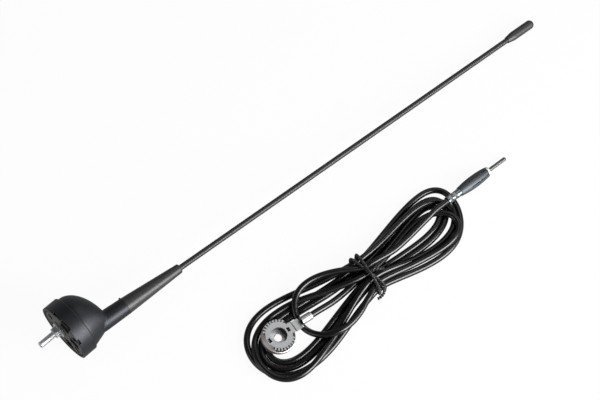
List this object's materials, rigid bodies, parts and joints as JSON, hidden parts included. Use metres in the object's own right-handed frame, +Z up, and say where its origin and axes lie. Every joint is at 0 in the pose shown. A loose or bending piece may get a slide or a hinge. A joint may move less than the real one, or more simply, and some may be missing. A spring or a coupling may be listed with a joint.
{
  "type": "car mast aerial",
  "caption": "Raked roof aerial: a thin wound mast screwed into a domed base with a threaded stud, with its coaxial lead tied in a hank between a toothed roof clamp and a push-in plug.",
  "frame": {"origin": "on the surface that the aerial lies on, under the middle of the aerial without its lead", "axes": "+Z up from that surface, +X along the mast towards its tip, the lead lies on the -Y side"},
  "size_m": [0.4941, 0.1555, 0.0475],
  "materials": {
    "base_plastic": "moulded, lightly textured black",
    "insert_plastic": "dark grey moulding with open pockets",
    "gasket_rubber": "soft black rubber",
    "mast_black": "black, wound rod under a thin sheath",
    "zinc_steel": "bright zinc plated",
    "brass": "turned",
    "clamp_steel": "stamped, satin zinc",
    "cup_metal": "turned, warm grey",
    "bush_plastic": "dark brown moulding",
    "cable_black": "glossy black sheath",
    "tie_black": "black coated wire",
    "plug_metal": "tinned, satin",
    "sleeve_steel": "dark spring steel, dull",
    "plug_white": "white moulding"
  },
  "bodies": {
    "base": {"base_cover": "base_plastic", "base_insert": "insert_plastic", "base_gasket": "gasket_rubber", "stud": "zinc_steel", "mast_socket": "brass", "contact_strap": "brass", "clamp_plate": "clamp_steel", "clamp_cup": "cup_metal", "clamp_insulator": "bush_plastic", "centre_contact": "zinc_steel", "lead_tail_clamp": "cable_black", "lead_tail_plug": "cable_black", "lead_hank": "cable_black", "wire_tie": "tie_black", "plug_ferrule": "plug_metal", "plug_sleeve": "sleeve_steel", "plug_insulator": "plug_white", "plug_pin": "plug_metal"},
    "mast_thread": {"mast_thread_end": "zinc_steel"},
    "mast": {"mast_ferrule": "base_plastic", "mast_rod": "mast_black", "tip_cap": "base_plastic"},
    "washer": {"stud_washer": "zinc_steel"},
    "nut": {"stud_nut": "zinc_steel"}
  },
  "joints": [
    {"name": "mast_travel", "type": "slide", "parent": "base", "child": "mast_thread", "axis": [0.9991, 0, -0.0426], "range_m": [0, 0.012]},
    {"name": "mast_turn", "type": "hinge", "parent": "mast_thread", "child": "mast", "pos_m": [-0.19917, -0.01079, 0.02276], "axis": [0.9991, 0, -0.0426], "range_deg": [0, 5401]},
    {"name": "nut_travel", "type": "slide", "parent": "base", "child": "washer", "axis": [-0.9942, -0.0993, 0.0424], "range_m": [0, 0.012]},
    {"name": "nut_turn", "type": "hinge", "parent": "washer", "child": "nut", "pos_m": [-0.22826, 0.00399, 0.024], "axis": [-0.9942, -0.0993, 0.0424], "range_deg": [0, 5401]}
  ],
  "couplings": [
    {"joint": "mast_turn", "follows": "mast_travel", "rad_per_m": 7854},
    {"joint": "nut_turn", "follows": "nut_travel", "rad_per_m": 7854}
  ]
}
